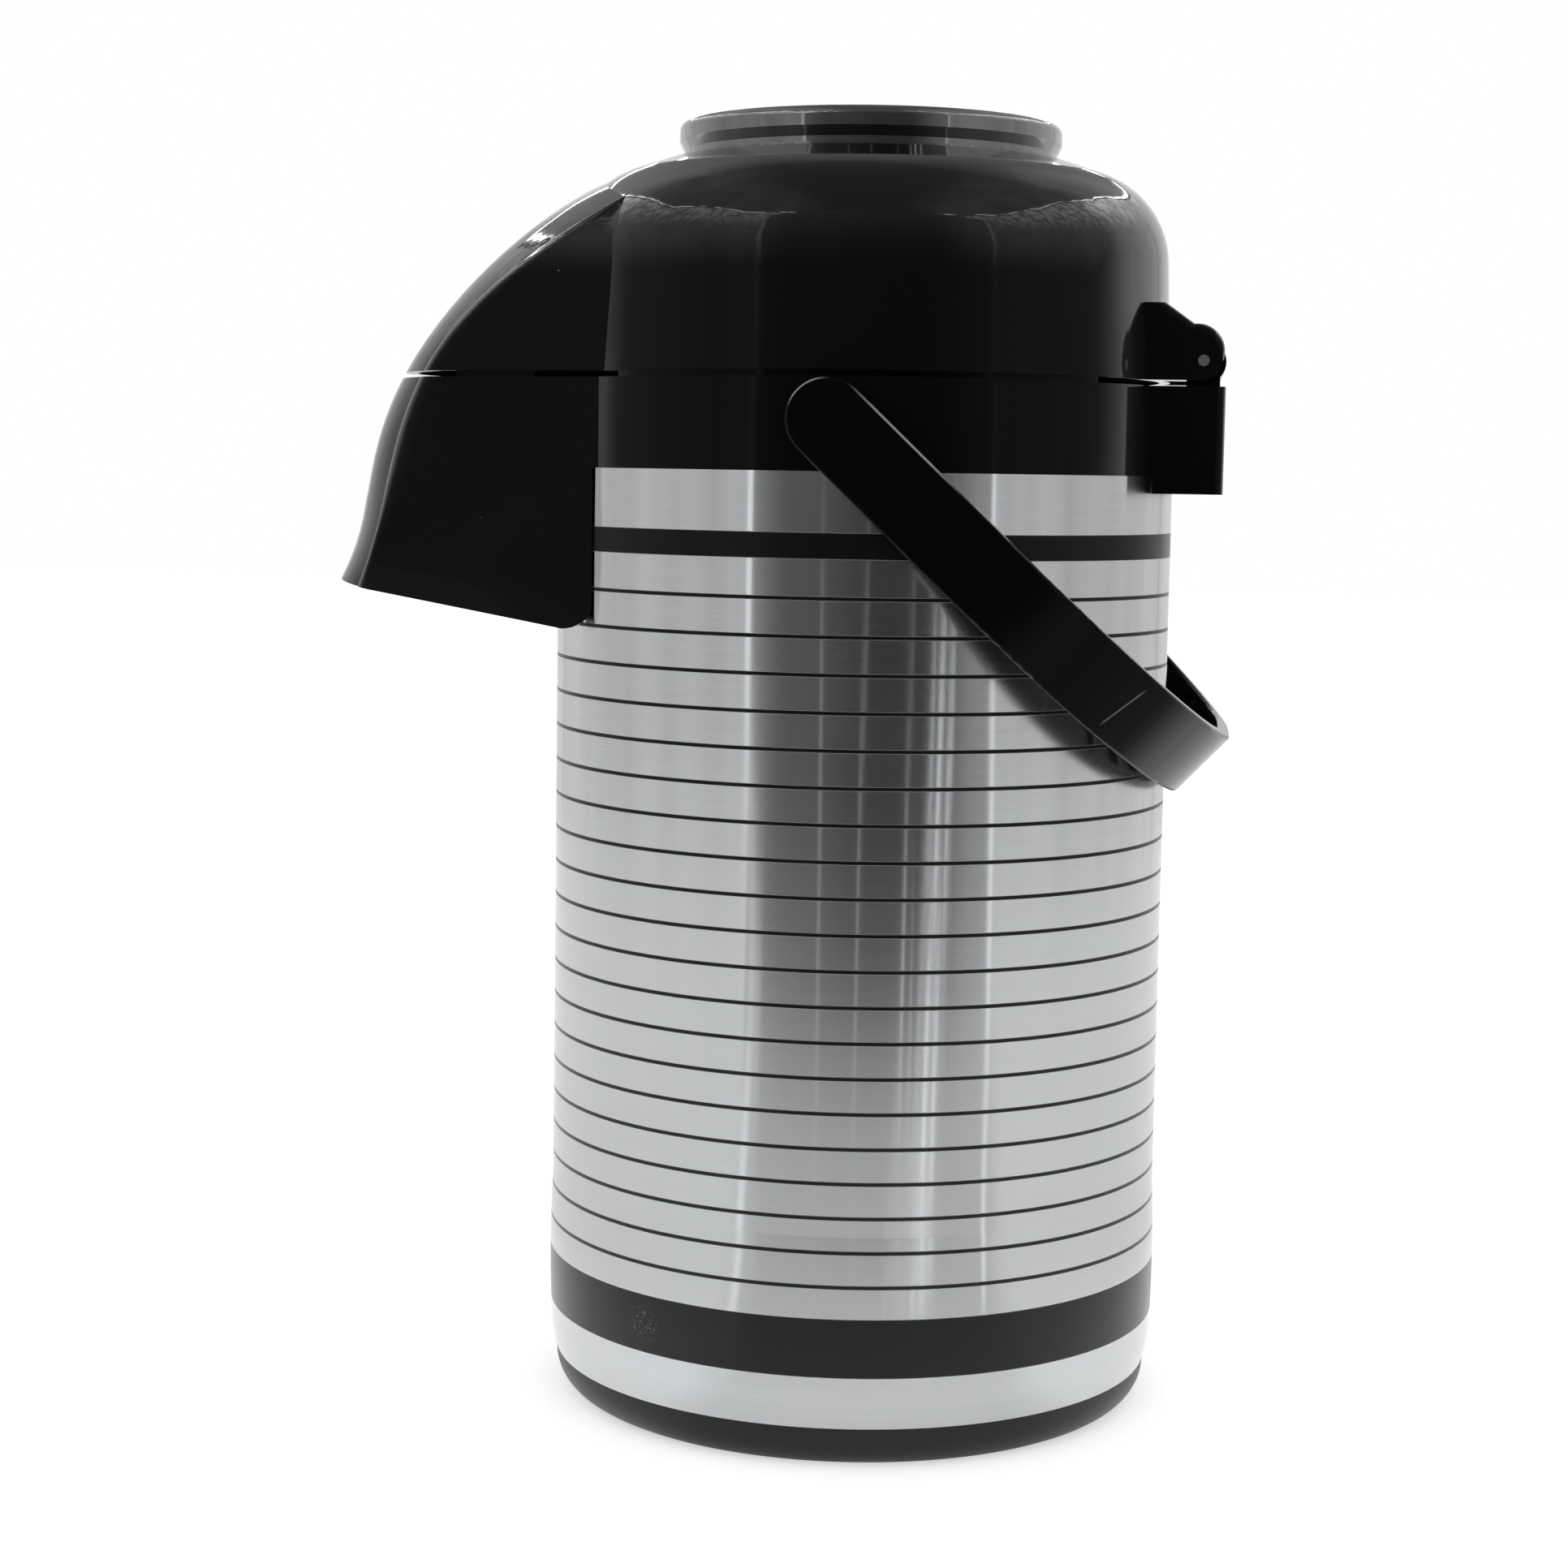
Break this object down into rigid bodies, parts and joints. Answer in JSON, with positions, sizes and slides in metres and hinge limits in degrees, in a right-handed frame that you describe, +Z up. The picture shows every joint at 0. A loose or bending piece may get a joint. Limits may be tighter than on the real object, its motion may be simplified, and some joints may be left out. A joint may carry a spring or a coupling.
{
  "type": "vacuum pump flask",
  "caption": "Insulated pump flask with a ringed steel body, a hooded spout, a hinged domed lid, a press button on top and a bail that swings over it.",
  "frame": {"origin": "centre of the base, on the surface the flask stands on", "axes": "+Z up along the body's axis, -X towards the spout, +X towards the lid's hinge, Y through the bail's pivots"},
  "size_m": [0.2506, 0.1812, 0.3532],
  "materials": {
    "casing_steel": "satin, with printed black rings and bands",
    "head_black": "polished black",
    "bail_black": "semi-gloss black",
    "foot_black": "satin black",
    "silvered_glass": "silvered inside",
    "pale_plastic": "satin off-white",
    "nozzle_black": "satin black",
    "grey_rubber": "soft, matt",
    "fibre_pad": "pressed fibre",
    "pin_steel": "bright drawn wire"
  },
  "bodies": {
    "body": {"outer_casing": "casing_steel", "base_ring": "foot_black", "base_plug": "foot_black", "liner_cushion": "grey_rubber", "liner_outer": "silvered_glass", "liner_heel": "silvered_glass", "liner_inner": "silvered_glass", "liner_neck": "silvered_glass", "liner_spacers": "fibre_pad", "neck_seal": "grey_rubber", "collar": "head_black", "pump_head": "pale_plastic", "flat_seal": "grey_rubber", "dip_tube": "pale_plastic", "pour_tube": "pale_plastic", "spout_tip": "nozzle_black", "bail_pivots": "bail_black", "hinge_pin": "pin_steel"},
    "bail": {"bail_handle": "bail_black"},
    "lid": {"lid_shell": "head_black", "lid_base": "pale_plastic", "lid_screws": "pin_steel", "outlet_seal": "grey_rubber", "bellows": "grey_rubber", "pump_spring": "pin_steel"},
    "button": {"push_button": "head_black", "press_plate": "pale_plastic", "plate_screws": "pin_steel", "intake_flap": "grey_rubber"}
  },
  "joints": [
    {"name": "bail_swing", "type": "hinge", "parent": "body", "child": "bail", "pos_m": [0, 0, 0.271], "axis": [0, -1, 0], "range_deg": [0, 211.5]},
    {"name": "lid_hinge", "type": "hinge", "parent": "body", "child": "lid", "pos_m": [0.0926, 0, 0.2886], "axis": [0, 1, 0], "range_deg": [0, 100]},
    {"name": "button_press", "type": "slide", "parent": "lid", "child": "button", "axis": [0, 0, -1], "range_m": [0, 0.018], "stiffness_N_per_m": 600, "springref_m": -0.01, "deforming": ["bellows", "pump_spring"]}
  ]
}
